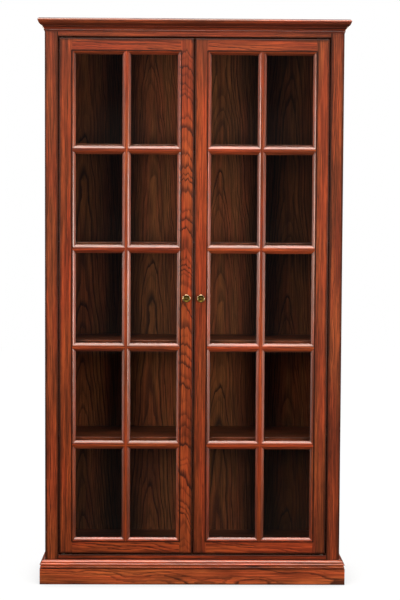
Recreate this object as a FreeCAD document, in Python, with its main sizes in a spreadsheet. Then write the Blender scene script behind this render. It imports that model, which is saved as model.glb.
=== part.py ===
import FreeCAD, Part
import math
import os
import Sketcher

# A free-standing bookcase with two inset glazed doors.  Millimetres, +Z up, the front faces -Y.
# The origin is on the floor, under the middle of the whole piece.

# --- driving sizes -----------------------------------------------------------------------------

SIZES = [
    # the case
    ("overall_height", 2000, "floor to the top of the crown"),
    ("case_width", 1051, "across the outer faces of the side panels"),
    ("case_depth", 327, "front of the face frame to the back of the case"),
    ("side_thickness", 20, "side panels"),
    ("board_thickness", 20, "case floor and top board"),
    ("housing_depth", 6, "how far the end of a board is let into a side panel"),
    ("floor_rise", 22, "case floor above the lower edge of the door opening"),
    ("ceiling_drop", 12, "underside of the top board below the upper edge of the opening"),
    ("stop_clearance", 0.3, "closed door to what it stops on"),
    ("back_thickness", 9, "back panel"),
    ("back_rabbet", 10, "how far the back panel is let into each side panel"),
    ("back_foot", 60, "lower edge of the back panel above the floor of the room"),
    ("cover_thickness", 12, "dust cover over the case, inside the crown"),
    ("cover_drop", 2, "dust cover below the top of the crown"),
    ("base_rail_thickness", 20, "cross rails that carry the case floor"),
    ("corner_block_width", 34, "each leg of a glue block under the case floor"),
    ("corner_block_height", 60, "length of a glue block"),
    # the face frame
    ("frame_thickness", 20, "face frame, front to back"),
    ("frame_stile_width", 47, "face frame stiles"),
    ("frame_rail_height", 42, "lower rail of the face frame"),
    ("frame_edge_radius", 2.5, "rounded edges of the face frame"),
    ("top_reveal", 18, "upper rail seen between the crown and the doors"),
    ("bottom_reveal", 17, "lower rail seen between the plinth cap and the doors"),
    ("frame_tenon_length", 12, "stub tenons of the face frame rails"),
    ("frame_tenon_thickness", 7, "stub tenons of the face frame rails"),
    ("frame_tenon_shoulder", 8, "rail edge to tenon"),
    # shelves
    ("shelf_thickness", 22, "shelves"),
    ("shelf_setback", 42, "front edge of a shelf behind the face frame's front"),
    ("shelf_rise", 23, "top of a shelf above the middle of the glazing bar before it"),
    ("shelf_edge_radius", 3, "rounded front edges of a shelf"),
    # crown moulding, from the top down
    ("crown_nose_radius", 7, "rounded nose"),
    ("crown_nose_flat", 2.5, "upright strip under the nose"),
    ("crown_step", 1.5, "set-back under the nose, and again over the cove"),
    ("crown_ovolo_width", 13, "quarter round, sideways"),
    ("crown_ovolo_drop", 16, "quarter round, downwards"),
    ("crown_ovolo_radius", 17.5, "quarter round"),
    ("crown_fillet", 2, "upright strip under the quarter round"),
    ("crown_cove_width", 5, "cove, sideways"),
    ("crown_cove_drop", 10, "cove, downwards"),
    ("crown_cove_radius", 13, "cove"),
    ("crown_bead_drop", 5, "bead under the cove"),
    ("crown_bead_radius", 2.6, "bead under the cove"),
    ("crown_bead_quirk", 1, "set-back between cove and bead"),
    ("crown_foot_drop", 2.5, "strip under the bead"),
    ("crown_foot", 1, "strip under the bead, proud of the case"),
    # plinth and the cap moulding that lies on it
    ("plinth_height", 70, "plinth boards"),
    ("plinth_thickness", 18, "plinth boards"),
    ("plinth_neck_depth", 4, "groove under the cap, into the board"),
    ("plinth_neck_height", 6, "groove under the cap"),
    ("plinth_bead_depth", 2.5, "bead's back behind the face of the board"),
    ("plinth_bead_height", 4, "bead under the groove"),
    ("plinth_bead_radius", 2.1, "bead under the groove"),
    ("plinth_quirk_height", 3, "fine groove under the bead, as deep as the bead's back"),
    ("plinth_edge_radius", 1.5, "rounded lower edge of the boards"),
    ("cap_ledge", 1.5, "flat top of the cap"),
    ("cap_ovolo_width", 11, "quarter round, sideways"),
    ("cap_ovolo_drop", 7.5, "quarter round, downwards"),
    ("cap_ovolo_radius", 12, "quarter round"),
    ("cap_fillet", 1.5, "upright strip under the quarter round"),
    ("cap_cove_width", 4.5, "cove, sideways"),
    ("cap_cove_drop", 5, "cove, downwards"),
    ("cap_cove_radius", 5.5, "cove"),
    ("cap_lip", 1, "ledge in front of the cove"),
    ("cap_edge", 2, "upright lower edge of the cap"),
    # doors
    ("pane_rows", 5, "panes one above another in a door"),
    ("door_gap", 3, "doors to the face frame at the sides and top, and to each other"),
    ("door_floor_gap", 4, "doors to the lower rail of the face frame"),
    ("door_recess", 1, "door face behind the face frame's front"),
    ("door_thickness", 22, "stiles, rails and glazing bars"),
    ("door_edge_radius", 3.5, "rounded outer edges of a door"),
    ("stile_flat", 46.5, "stiles without their moulded edge"),
    ("rail_flat", 45.5, "rails without their moulded edge"),
    ("sticking_width", 11.5, "moulded edge round each pane"),
    ("sticking_depth", 9.5, "how far back the moulded edge runs"),
    ("sticking_radius", 18, "curve of the moulded edge"),
    ("quirk_width", 1.5, "small step between flat and moulded edge"),
    ("quirk_depth", 1.2, "small step between flat and moulded edge"),
    ("muntin_flat", 7, "flat of a glazing bar between its two moulded edges"),
    ("glass_seat", 12, "face of a door to the front of its glass"),
    ("rabbet_width", 7.5, "glass rabbet behind the moulded edge"),
    ("door_tenon_length", 25, "tenons of the door rails"),
    ("door_tenon_thickness", 8, "tenons of the door rails"),
    ("door_tenon_depth", 7, "face of the door to the tenon"),
    ("tenon_outer_shoulder", 18, "outer edge of a rail to its tenon"),
    ("tenon_inner_shoulder", 5, "tenon to the flat's inner edge"),
    ("tenon_end_clearance", 1, "end of a tenon to the bottom of its mortise"),
    ("glass_thickness", 3, "panes"),
    ("glass_clearance", 1.5, "edge of a pane to the wood round it"),
    ("bead_width", 6.5, "glazing beads behind the panes"),
    ("bead_drop", 0.8, "glazing beads below the back of the door"),
    ("bead_joint", 0.15, "hairline between mitred bead ends"),
    # knobs
    ("knob_height", 914.5, "knob above the lower edge of its door"),
    ("knob_inset", 24, "knob from the meeting edge of its door"),
    ("knob_diameter", 29, "head of the knob"),
    ("knob_base_diameter", 16, "foot of the knob on the door"),
    ("knob_base_thickness", 2.5, "foot of the knob on the door"),
    ("knob_neck_diameter", 10, "neck of the knob"),
    ("knob_neck_length", 8, "neck up to the flare of the head"),
    ("knob_head_depth", 7, "flare of the head up to its widest ring"),
    ("knob_rim", 2.2, "upright edge of the head"),
    ("knob_rim_width", 1, "flat ring round the hollow"),
    ("knob_dish_depth", 1.8, "hollow inside the rim, with a wall at 45 degrees"),
    ("knob_button_diameter", 10, "button in the middle of the hollow"),
    ("knob_button_height", 1.2, "button in the middle of the hollow"),
    # pivot hinges, one at the top and one at the bottom of each door
    ("pivot_inset", 14, "pivot axis from the hinge edge of the door"),
    ("pivot_depth", 9, "pivot axis behind the face of the door"),
    ("pivot_diameter", 6, "pivot pins"),
    ("pivot_clearance", 0.05, "pivot pin to its hole in the plate"),
    ("pivot_bite", 4, "pivot pin past the door's plate"),
    ("pivot_wood_clearance", 0.8, "pivot pin to the wood beyond the plate"),
    ("pivot_relief_clearance", 1, "swinging corner of a door to floor and top board"),
    ("washer_diameter", 13, "washer that carries a door"),
    ("washer_clearance", 0.2, "washer to the plate of the door"),
    ("plate_thickness", 2.5, "pivot plates"),
    ("plate_width", 11, "pivot plates, front to back"),
    ("plate_heel", 8, "pivot axis to the near end of a plate"),
    ("plate_toe", 32, "pivot axis to the far end of a plate"),
    # magnetic catches under the top board
    ("catch_width", 40, "catch, sideways"),
    ("catch_depth", 14, "catch, front to back"),
    ("catch_height", 12, "catch, downwards"),
    ("catch_inset", 66, "middle of a catch from the middle of the case"),
    ("catch_air", 0.3, "catch to the strike plate of a closed door"),
    ("magnet_width", 24, "magnet, sideways"),
    ("magnet_height", 6, "magnet, downwards"),
    ("magnet_length", 9, "magnet, front to back"),
    ("strike_width", 30, "strike plate, sideways"),
    ("strike_height", 10, "strike plate, downwards"),
    ("strike_thickness", 2, "strike plate"),
]

PLACES = [
    ("half_width", "sizes.case_width / 2", "middle to the outer face of a side"),
    ("inner_width", "sizes.case_width - 2 * sizes.side_thickness", "between the side panels"),
    ("crown_projection",
     "sizes.crown_foot + sizes.crown_bead_quirk + sizes.crown_cove_width + sizes.crown_step"
     " + sizes.crown_ovolo_width + sizes.crown_step", "crown in front of the case"),
    ("crown_height",
     "sizes.crown_nose_radius + sizes.crown_nose_flat + sizes.crown_ovolo_drop"
     " + sizes.crown_fillet + sizes.crown_cove_drop + sizes.crown_bead_drop"
     " + sizes.crown_foot_drop", "crown"),
    ("cap_height",
     "sizes.cap_ovolo_drop + sizes.cap_fillet + sizes.cap_cove_drop + sizes.cap_edge", "cap"),
    ("cap_projection",
     "sizes.cap_ledge + sizes.cap_ovolo_width + sizes.cap_cove_width + sizes.cap_lip",
     "cap in front of the case"),
    ("front", "(crown_projection - sizes.case_depth) / 2", "front face of the face frame"),
    ("back", "front + sizes.case_depth", "back of the case"),
    ("frame_back", "front + sizes.frame_thickness", "back face of the face frame"),
    ("back_face", "back - sizes.back_thickness", "front of the back panel"),
    ("side_depth", "sizes.case_depth - sizes.frame_thickness", "side panels, front to back"),
    ("carcass_top", "sizes.overall_height - sizes.cover_drop - sizes.cover_thickness",
     "top of the side panels"),
    ("opening_width", "sizes.case_width - 2 * sizes.frame_stile_width", "door opening"),
    ("opening_bottom", "sizes.plinth_height + cap_height + sizes.bottom_reveal",
     "lower edge of the door opening"),
    ("opening_top", "sizes.overall_height - crown_height - sizes.top_reveal",
     "upper edge of the door opening"),
    ("floor_top", "opening_bottom + sizes.floor_rise", "top of the case floor"),
    ("floor_under", "floor_top - sizes.board_thickness", "underside of the case floor"),
    ("ceiling", "opening_top - sizes.ceiling_drop", "underside of the top board"),
    ("door_width", "(opening_width - 3 * sizes.door_gap) / 2", "one door"),
    ("door_left", "sizes.door_gap - opening_width / 2", "hinge edge of the left door"),
    ("door_middle", "door_left + door_width / 2", "middle of the left door"),
    ("door_front", "front + sizes.door_recess", "face of the doors"),
    ("door_bottom", "opening_bottom + sizes.door_floor_gap", "lower edge of the doors"),
    ("door_height", "opening_top - sizes.door_gap - door_bottom", "one door"),
    ("door_back", "door_front + sizes.door_thickness", "back face of the doors"),
    ("stop_face", "door_back + sizes.stop_clearance", "what a closed door stops on"),
    ("stile_width", "sizes.stile_flat + sizes.sticking_width", "stiles of a door"),
    ("rail_height", "sizes.rail_flat + sizes.sticking_width", "rails of a door"),
    ("muntin_width", "sizes.muntin_flat + 2 * sizes.sticking_width", "glazing bars"),
    ("pane_width", "(door_width - 2 * stile_width - muntin_width) / 2", "seen width of a pane"),
    ("pane_height",
     "(door_height - 2 * rail_height - (sizes.pane_rows - 1) * muntin_width) / sizes.pane_rows",
     "seen height of a pane"),
    ("pane_pitch", "pane_height + muntin_width", "from one glazing bar to the next"),
    ("first_muntin", "rail_height + pane_height + muntin_width / 2",
     "middle of the lowest glazing bar above the lower edge of the door"),
    ("first_shelf_under",
     "door_bottom + first_muntin + sizes.shelf_rise - sizes.shelf_thickness",
     "underside of the lowest shelf"),
    ("shelf_front", "front + sizes.shelf_setback", "front edge of the shelves"),
    ("shelf_depth", "back_face - shelf_front", "shelves"),
    ("pivot_side", "door_left + sizes.pivot_inset", "pivot axis of the left door, sideways"),
    ("pivot_back", "door_front + sizes.pivot_depth", "pivot axes, front to back"),
    ("relief_radius",
     "sqrt(pow(sizes.pivot_inset; 2) + pow(sizes.door_thickness - sizes.pivot_depth; 2))"
     " + sizes.pivot_relief_clearance", "swing of the back corner of a door"),
    ("strike_middle", "ceiling - sizes.catch_height / 2", "height of the strike plates"),
    ("catch_front", "door_back + sizes.strike_thickness + sizes.catch_air",
     "front of the catches"),
]

doc = FreeCAD.newDocument("glazed_bookcase")


def fill_sheet(name, rows, prefix):
    """A spreadsheet with one alias per row: name, cell content, what it is."""
    sheet = doc.addObject("Spreadsheet::Sheet", name)
    for row, (alias, content, meaning) in enumerate(rows, start=1):
        sheet.set(f"A{row}", alias)
        sheet.set(f"B{row}", prefix + str(content))
        sheet.set(f"C{row}", meaning)
        sheet.setAlias(f"B{row}", alias)
    doc.recompute()
    return sheet


sizes = fill_sheet("sizes", SIZES, "")
places = fill_sheet("places", PLACES, "=")


def value(expression):
    """The number that an expression over the two sheets gives."""
    return float(sizes.evalExpression(expression))


# --- small helpers over the document's own features ---------------------------------------------

ROUND, HOLLOW = "round", "hollow"
HOUSED_HALF = "(places.inner_width / 2 + sizes.housing_depth)"  # middle to a board's housed end
BEYOND = 1.0  # how far a cutting outline reaches past the wood it cuts
sub_parts = []


def publish(piece):
    """Count a finished object as a sub-part: its label names the file it is written to."""
    sub_parts.append(piece)
    return piece


def new_body(label, x="0", y="0", z="0"):
    """A body whose own origin lies at x, y, z."""
    piece = doc.addObject("PartDesign::Body", label)
    piece.Label = label
    for axis, expression in zip("xyz", (x, y, z)):
        piece.setExpression(f"Placement.Base.{axis}", expression)
    return piece


def origin_part(piece, role):
    return next(f for f in piece.Origin.OriginFeatures if f.Role == role)


def new_sketch(piece, plane, offset="0"):
    """A sketch on XY (normal +Z), XZ (normal -Y) or YZ (normal +X), moved along the normal."""
    sketch = piece.newObject("Sketcher::SketchObject", f"{piece.Name}_{plane}")
    sketch.AttachmentSupport = [(origin_part(piece, f"{plane}_Plane"), "")]
    sketch.MapMode = "FlatFace"
    sketch.setExpression("AttachmentOffset.Base.z", offset)
    return sketch


def arc_through(start, end, radius, side):
    """Arc from start to end that bulges to the left (side 1) or the right (side -1)."""
    chord = end - start
    half = chord.Length / 2
    rise = radius - math.sqrt(max(radius * radius - half * half, 0))
    left = FreeCAD.Vector(-chord.y, chord.x, 0).normalize()
    return Part.Arc(start, (start + end) / 2 + left * rise * side, end)


def bind(sketch, constraints, expressions):
    """Add constraints and tie each to its expression; None leaves one as it is."""
    first = sketch.ConstraintCount
    sketch.addConstraint(constraints)
    for index, expression in enumerate(expressions, start=first):
        if expression is not None:
            sketch.setExpression(f"Constraints[{index}]", expression)


def outline(sketch, corners):
    """Draw a closed outline.  A corner is (x, y), or (x, y, radius, ROUND or HOLLOW) where the
    edge that ends there is an arc.  Every corner is held by two distances."""
    first = sketch.GeometryCount
    points = [FreeCAD.Vector(value(c[0]), value(c[1]), 0) for c in corners]
    befores = points[-1:] + points[:-1]
    area = sum(a.x * b.y - b.x * a.y for a, b in zip(befores, points))
    outward = -1 if area > 0 else 1
    for before, point, corner in zip(befores, points, corners):
        if len(corner) == 2:
            sketch.addGeometry(Part.LineSegment(before, point), False)
        else:
            side = outward if corner[3] == ROUND else -outward
            sketch.addGeometry(arc_through(before, point, value(corner[2]), side), False)

    def end_at(edge, point):
        distances = [sketch.getPoint(edge, end).distanceToPoint(point) for end in (1, 2)]
        return 1 + distances.index(min(distances))

    constraints, expressions = [], []
    for index, (point, corner) in enumerate(zip(points, corners)):
        edge = first + index
        following = first + (index + 1) % len(corners)
        end, start = end_at(edge, point), end_at(following, point)
        constraints += [
            Sketcher.Constraint("Coincident", edge, end, following, start),
            Sketcher.Constraint("DistanceX", edge, end, point.x),
            Sketcher.Constraint("DistanceY", edge, end, point.y),
        ]
        expressions += [None, corner[0], corner[1]]
        if len(corner) > 2:
            constraints.append(Sketcher.Constraint("Radius", edge, value(corner[2])))
            expressions.append(corner[2])
    bind(sketch, constraints, expressions)


def rectangle(sketch, low, high):
    """Draw a rectangle from its low corner to its high corner."""
    outline(sketch, [(low[0], low[1]), (high[0], low[1]), (high[0], high[1]), (low[0], high[1])])


def circles(sketch, spots, diameter):
    """Draw a circle of one diameter round each spot."""
    for x, y in spots:
        circle = sketch.GeometryCount
        centre = FreeCAD.Vector(value(x), value(y), 0)
        sketch.addGeometry(
            Part.Circle(centre, FreeCAD.Vector(0, 0, 1), value(diameter) / 2), False)
        constraints = [
            Sketcher.Constraint("DistanceX", circle, 3, centre.x),
            Sketcher.Constraint("DistanceY", circle, 3, centre.y),
            Sketcher.Constraint("Diameter", circle, value(diameter)),
        ]
        bind(sketch, constraints, [x, y, diameter])


def feature(kind, piece, sketch, length, reverse):
    made = piece.newObject(f"PartDesign::{kind}", f"{piece.Name}_{kind}")
    made.Profile = (sketch, [""])
    if length is None:
        made.Type = "ThroughAll"
    else:
        made.setExpression("Length", length)
    made.Reversed = reverse
    piece.Tip = made
    return made


def pad(piece, sketch, length, reverse=False):
    """Raise a sketch along its normal, or against it."""
    return feature("Pad", piece, sketch, length, reverse)


def pocket(piece, sketch, length=None, reverse=False):
    """Cut a sketch against its normal, or along it; all the way through without a length."""
    return feature("Pocket", piece, sketch, length, reverse)


def drill(piece, plane, offset, spots, diameter, depth, reverse=False):
    """Round holes at the spots."""
    sketch = new_sketch(piece, plane, offset)
    circles(sketch, spots, diameter)
    return pocket(piece, sketch, depth, reverse)


def revolve(piece, sketch, axis):
    """Turn a sketch all the way round one of its own axes."""
    made = piece.newObject("PartDesign::Revolution", f"{piece.Name}_Revolution")
    made.Profile = (sketch, [""])
    made.ReferenceAxis = (sketch, [axis])
    made.Angle = 360
    piece.Tip = made
    return made


def repeat(piece, originals, role, spacing, count):
    """Repeat features along an axis of the body."""
    made = piece.newObject("PartDesign::LinearPattern", f"{piece.Name}_Pattern")
    made.Originals = originals
    made.Direction = (origin_part(piece, role), [""])
    made.Mode = "Spacing"
    made.setExpression("Offset", spacing)
    made.setExpression("Occurrences", count)
    piece.Tip = made
    return made


def repeat_grid(piece, originals, steps, mirror_plane=None):
    """Repeat features along one or two axes, then mirror the lot in a plane of the body."""
    made = piece.newObject("PartDesign::MultiTransform", f"{piece.Name}_Grid")
    made.Originals = originals
    transforms = []
    for role, spacing, count in steps:
        step = piece.newObject("PartDesign::LinearPattern", f"{piece.Name}_Step")
        step.Direction = (origin_part(piece, role), [""])
        step.Mode = "Spacing"
        step.setExpression("Offset", spacing)
        step.setExpression("Occurrences", count)
        transforms.append(step)
    if mirror_plane is not None:
        mirror = piece.newObject("PartDesign::Mirrored", f"{piece.Name}_Mirror")
        mirror.MirrorPlane = (origin_part(piece, mirror_plane), [""])
        transforms.append(mirror)
    made.Transformations = transforms
    piece.Tip = made
    return made


def mirrored(label, source):
    """The right-hand twin of a left-hand piece."""
    twin = doc.addObject("Part::Mirroring", label)
    twin.Label = label
    twin.Source = source
    twin.Normal = (1, 0, 0)
    return publish(twin)


def plain_board(label, x, y, z, length, width, height):
    """A plain rectangular board."""
    board = doc.addObject("Part::Box", label)
    board.Label = label
    for name, expression in (("Length", length), ("Width", width), ("Height", height)):
        board.setExpression(name, expression)
    for axis, expression in zip("xyz", (x, y, z)):
        board.setExpression(f"Placement.Base.{axis}", expression)
    return board


def minus(expression):
    return f"0 - ({expression})"


# --- the case -----------------------------------------------------------------------------------

def make_side_panels():
    piece = new_body("left_side_panel", "0 - places.half_width", "places.frame_back")
    depth, thick = "places.side_depth", "sizes.side_thickness"
    rabbet_front = f"{depth} - sizes.back_thickness"
    rabbet_side = f"{thick} - sizes.back_rabbet"
    section = new_sketch(piece, "XY")
    outline(section, [("0", "0"), (thick, "0"), (thick, rabbet_front),
                      (rabbet_side, rabbet_front), (rabbet_side, depth), ("0", depth)])
    pad(piece, section, "places.carcass_top")

    housings = new_sketch(piece, "YZ", thick)
    floor_front = "places.stop_face - places.frame_back"
    rectangle(housings, (floor_front, "places.floor_under"), (rabbet_front, "places.floor_top"))
    rectangle(housings, ("0", "places.ceiling"),
              (rabbet_front, "places.ceiling + sizes.board_thickness"))
    pocket(piece, housings, "sizes.housing_depth")

    groove = new_sketch(piece, "YZ", thick)
    rectangle(groove, ("places.shelf_front - places.frame_back", "places.first_shelf_under"),
              (rabbet_front, "places.first_shelf_under + sizes.shelf_thickness"))
    shelf_housing = pocket(piece, groove, "sizes.housing_depth")
    repeat(piece, [shelf_housing], "Z_Axis", "places.pane_pitch", "sizes.pane_rows - 1")
    publish(piece)
    mirrored("right_side_panel", piece)


def board_between_sides(label, height, section_corners, relief_plane, relief_depth, upward):
    """A board let into both sides, hollowed where the back corners of the doors swing."""
    piece = new_body(label, "0", "places.frame_back", height)
    section = new_sketch(piece, "YZ", minus(HOUSED_HALF))
    outline(section, section_corners)
    pad(piece, section, f"2 * {HOUSED_HALF}")
    swing = "places.pivot_back - places.frame_back"
    drill(piece, "XY", relief_plane, [("places.pivot_side", swing), ("0 - places.pivot_side", swing)],
          "2 * places.relief_radius", relief_depth, reverse=upward)
    publish(piece)


def make_floor_and_top_board():
    rear = "places.back_face - places.frame_back"
    stop = "places.stop_face - places.frame_back"
    thick, drop = "sizes.board_thickness", "sizes.ceiling_drop"
    board_between_sides(
        "case_floor", "places.floor_under",
        [(stop, "0"), (rear, "0"), (rear, thick), (stop, thick)],
        thick, thick, False)
    board_between_sides(
        "case_top_board", "places.ceiling",
        [(stop, "0"), (rear, "0"), (rear, thick), ("0", thick), ("0", drop), (stop, drop)],
        "0", drop, True)


def make_back_panel():
    side = "(places.inner_width / 2 + sizes.back_rabbet)"
    publish(plain_board("back_panel", minus(side), "places.back_face", "sizes.back_foot",
                f"2 * {side}", "sizes.back_thickness", "places.carcass_top - sizes.back_foot"))


def make_top_cover():
    publish(plain_board("top_cover_panel", "0 - places.half_width", "places.front",
                        "places.carcass_top", "sizes.case_width", "sizes.case_depth",
                        "sizes.cover_thickness"))


def make_base():
    """Two cross rails that carry the case floor, with a glue block in each corner."""
    left = "0 - places.inner_width / 2"
    thick = "sizes.base_rail_thickness"
    for label, y in (("base_front_rail", "places.frame_back"),
                     ("base_back_rail", f"places.back_face - {thick}")):
        publish(plain_board(label, left, y, "0", "places.inner_width", thick,
                            "places.floor_under"))
    piece = new_body("base_corner_blocks", "0", "places.frame_back", "places.floor_under")
    leg, chamfer = "sizes.corner_block_width", "sizes.corner_block_width / 3"
    front = thick
    rear = f"places.back_face - places.frame_back - {thick}"
    plan = new_sketch(piece, "XY")
    outline(plan, [(left, front), (f"{left} + {leg}", front),
                   (f"{left} + {leg}", f"{front} + {chamfer}"),
                   (f"{left} + {chamfer}", f"{front} + {leg}"), (left, f"{front} + {leg}")])
    outline(plan, [(left, rear), (f"{left} + {leg}", rear),
                   (f"{left} + {leg}", f"{rear} - {chamfer}"),
                   (f"{left} + {chamfer}", f"{rear} - {leg}"), (left, f"{rear} - {leg}")])
    blocks = pad(piece, plan, "sizes.corner_block_height", reverse=True)
    repeat_grid(piece, [blocks], [], "YZ_Plane")
    publish(piece)


# --- the face frame -----------------------------------------------------------------------------

def frame_tenon_box():
    """Front and back of the stub tenons, behind the front of the face frame."""
    middle = "sizes.frame_thickness / 2"
    return (f"{middle} - sizes.frame_tenon_thickness / 2",
            f"{middle} + sizes.frame_tenon_thickness / 2")


def make_frame_stiles():
    piece = new_body("frame_left_stile", "0 - places.half_width", "places.front")
    wide, thick, edge = "sizes.frame_stile_width", "sizes.frame_thickness", "sizes.frame_edge_radius"
    section = new_sketch(piece, "XY")
    outline(section, [(edge, "0", edge, ROUND), (f"{wide} - {edge}", "0"),
                      (wide, edge, edge, ROUND), (wide, thick), ("0", thick), ("0", edge)])
    pad(piece, section, "places.carcass_top")
    near, far = frame_tenon_box()
    shoulder = "sizes.frame_tenon_shoulder"
    mortises = new_sketch(piece, "YZ", wide)
    rectangle(mortises, (near, f"places.opening_bottom - sizes.frame_rail_height + {shoulder}"),
              (far, f"places.opening_bottom - {shoulder}"))
    rectangle(mortises, (near, f"places.opening_top + {shoulder}"),
              (far, f"places.carcass_top - {shoulder}"))
    pocket(piece, mortises, "sizes.frame_tenon_length + sizes.tenon_end_clearance")
    publish(piece)
    mirrored("frame_right_stile", piece)


def frame_rail(label, low, high, opening_edge):
    """A rail of the face frame; opening_edge is the height of its edge along the doors."""
    piece = new_body(label, "0", "places.front")
    thick, edge = "sizes.frame_thickness", "sizes.frame_edge_radius"
    half = "places.opening_width / 2"
    section = new_sketch(piece, "YZ", minus(half))
    if opening_edge == high:
        corners = [("0", low), (thick, low), (thick, high), (edge, high),
                   ("0", f"{high} - {edge}", edge, ROUND)]
    else:
        corners = [(thick, low), (thick, high), ("0", high), ("0", f"{low} + {edge}"),
                   (edge, low, edge, ROUND)]
    outline(section, corners)
    pad(piece, section, f"2 * {half}")
    near, far = frame_tenon_box()
    shoulder, tenon = "sizes.frame_tenon_shoulder", "sizes.frame_tenon_length"
    tenons = new_sketch(piece, "YZ", minus(f"{half} + {tenon}"))
    rectangle(tenons, (near, f"{low} + {shoulder}"), (far, f"{high} - {shoulder}"))
    pad(piece, tenons, f"2 * ({half} + {tenon})")
    upward = opening_edge == low
    recess_pivot_plates(piece, opening_edge, upward)
    return publish(piece)


def plate_outline(sketch, side, centre_y, direction=1):
    """Plan of a pivot plate round the pivot axis; direction 1 runs towards +X."""
    heel = f"{side} - {direction} * sizes.plate_heel"
    toe = f"{side} + {direction} * sizes.plate_toe"
    low, high = (heel, toe) if direction == 1 else (toe, heel)
    rectangle(sketch, (low, f"{centre_y} - sizes.plate_width / 2"),
              (high, f"{centre_y} + sizes.plate_width / 2"))


def recess_pivot_plates(piece, height, upward):
    """Let the two plates of the case into the edge of a face frame rail."""
    centre_y = "places.pivot_back - places.front"
    recesses = new_sketch(piece, "XY", height)
    plate_outline(recesses, "places.pivot_side", centre_y)
    plate_outline(recesses, "0 - places.pivot_side", centre_y, -1)
    pocket(piece, recesses, "sizes.plate_thickness", reverse=upward)


def make_face_frame():
    make_frame_stiles()
    bottom = "places.opening_bottom"
    frame_rail("frame_bottom_rail", f"{bottom} - sizes.frame_rail_height", bottom, bottom)
    frame_rail("frame_top_rail", "places.opening_top", "places.carcass_top", "places.opening_top")


# --- shelves ------------------------------------------------------------------------------------

def make_shelves():
    deep, thick, edge = "places.shelf_depth", "sizes.shelf_thickness", "sizes.shelf_edge_radius"
    for number in range(1, int(value("sizes.pane_rows"))):
        height = f"places.first_shelf_under + {number - 1} * places.pane_pitch"
        piece = new_body(f"shelf_{number}", "0", "places.shelf_front", height)
        section = new_sketch(piece, "YZ", minus(HOUSED_HALF))
        outline(section, [(deep, "0"), (deep, thick), (edge, thick),
                          ("0", f"{thick} - {edge}", edge, ROUND), ("0", edge),
                          (edge, "0", edge, ROUND)])
        pad(piece, section, f"2 * {HOUSED_HALF}")
        publish(piece)


# --- mouldings ----------------------------------------------------------------------------------

def crown_profile():
    """Section of the crown: outwards and downwards from its top inner corner."""
    steps = {
        "nose": "sizes.crown_nose_radius",
        "foot": "sizes.crown_foot",
        "bead": "(sizes.crown_foot)",
        "cove_end": "(sizes.crown_foot + sizes.crown_bead_quirk)",
    }
    out = "places.crown_projection"
    cove_start = f"({steps['cove_end']} + sizes.crown_cove_width)"
    fillet = f"({cove_start} + sizes.crown_step)"
    ovolo_start = f"({fillet} + sizes.crown_ovolo_width)"
    nose_foot = "(sizes.crown_nose_radius + sizes.crown_nose_flat)"
    ovolo_foot = f"({nose_foot} + sizes.crown_ovolo_drop)"
    fillet_foot = f"({ovolo_foot} + sizes.crown_fillet)"
    cove_foot = f"({fillet_foot} + sizes.crown_cove_drop)"
    bead_foot = f"({cove_foot} + sizes.crown_bead_drop)"
    return [
        ("0", "0"),
        (f"{out} - {steps['nose']}", "0"),
        (out, steps["nose"], steps["nose"], ROUND),
        (out, nose_foot),
        (ovolo_start, nose_foot),
        (fillet, ovolo_foot, "sizes.crown_ovolo_radius", ROUND),
        (fillet, fillet_foot),
        (cove_start, fillet_foot),
        (steps["cove_end"], cove_foot, "sizes.crown_cove_radius", HOLLOW),
        (steps["bead"], cove_foot),
        (steps["bead"], bead_foot, "sizes.crown_bead_radius", ROUND),
        (steps["foot"], "places.crown_height"),
        ("0", "places.crown_height"),
    ]


def cap_profile():
    """Section of the moulding on the plinth: a quarter round over a cove."""
    ovolo_out = "(sizes.cap_ledge + sizes.cap_ovolo_width)"
    fillet_foot = "(sizes.cap_ovolo_drop + sizes.cap_fillet)"
    cove_out = f"({ovolo_out} + sizes.cap_cove_width)"
    cove_foot = f"({fillet_foot} + sizes.cap_cove_drop)"
    out = "places.cap_projection"
    return [
        ("0", "0"),
        ("sizes.cap_ledge", "0"),
        (ovolo_out, "sizes.cap_ovolo_drop", "sizes.cap_ovolo_radius", ROUND),
        (ovolo_out, fillet_foot),
        (cove_out, cove_foot, "sizes.cap_cove_radius", HOLLOW),
        (out, cove_foot),
        (out, "places.cap_height"),
        ("0", "places.cap_height"),
    ]


def plinth_profile():
    """Section of the plinth boards: a neck, a bead and a fine groove over the plain face."""
    out, foot = "sizes.plinth_thickness", "sizes.plinth_height"
    neck = f"({out} - sizes.plinth_neck_depth)"
    bead_back = f"({out} - sizes.plinth_bead_depth)"
    bead_top = "sizes.plinth_neck_height"
    bead_foot = f"({bead_top} + sizes.plinth_bead_height)"
    quirk_foot = f"({bead_foot} + sizes.plinth_quirk_height)"
    edge = "sizes.plinth_edge_radius"
    return [
        ("0", "0"),
        (neck, "0"),
        (neck, bead_top),
        (bead_back, bead_top),
        (bead_back, bead_foot, "sizes.plinth_bead_radius", ROUND),
        (bead_back, quirk_foot),
        (out, quirk_foot),
        (out, f"{foot} - {edge}"),
        (f"{out} - {edge}", foot, edge, ROUND),
        ("0", foot),
    ]


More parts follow.
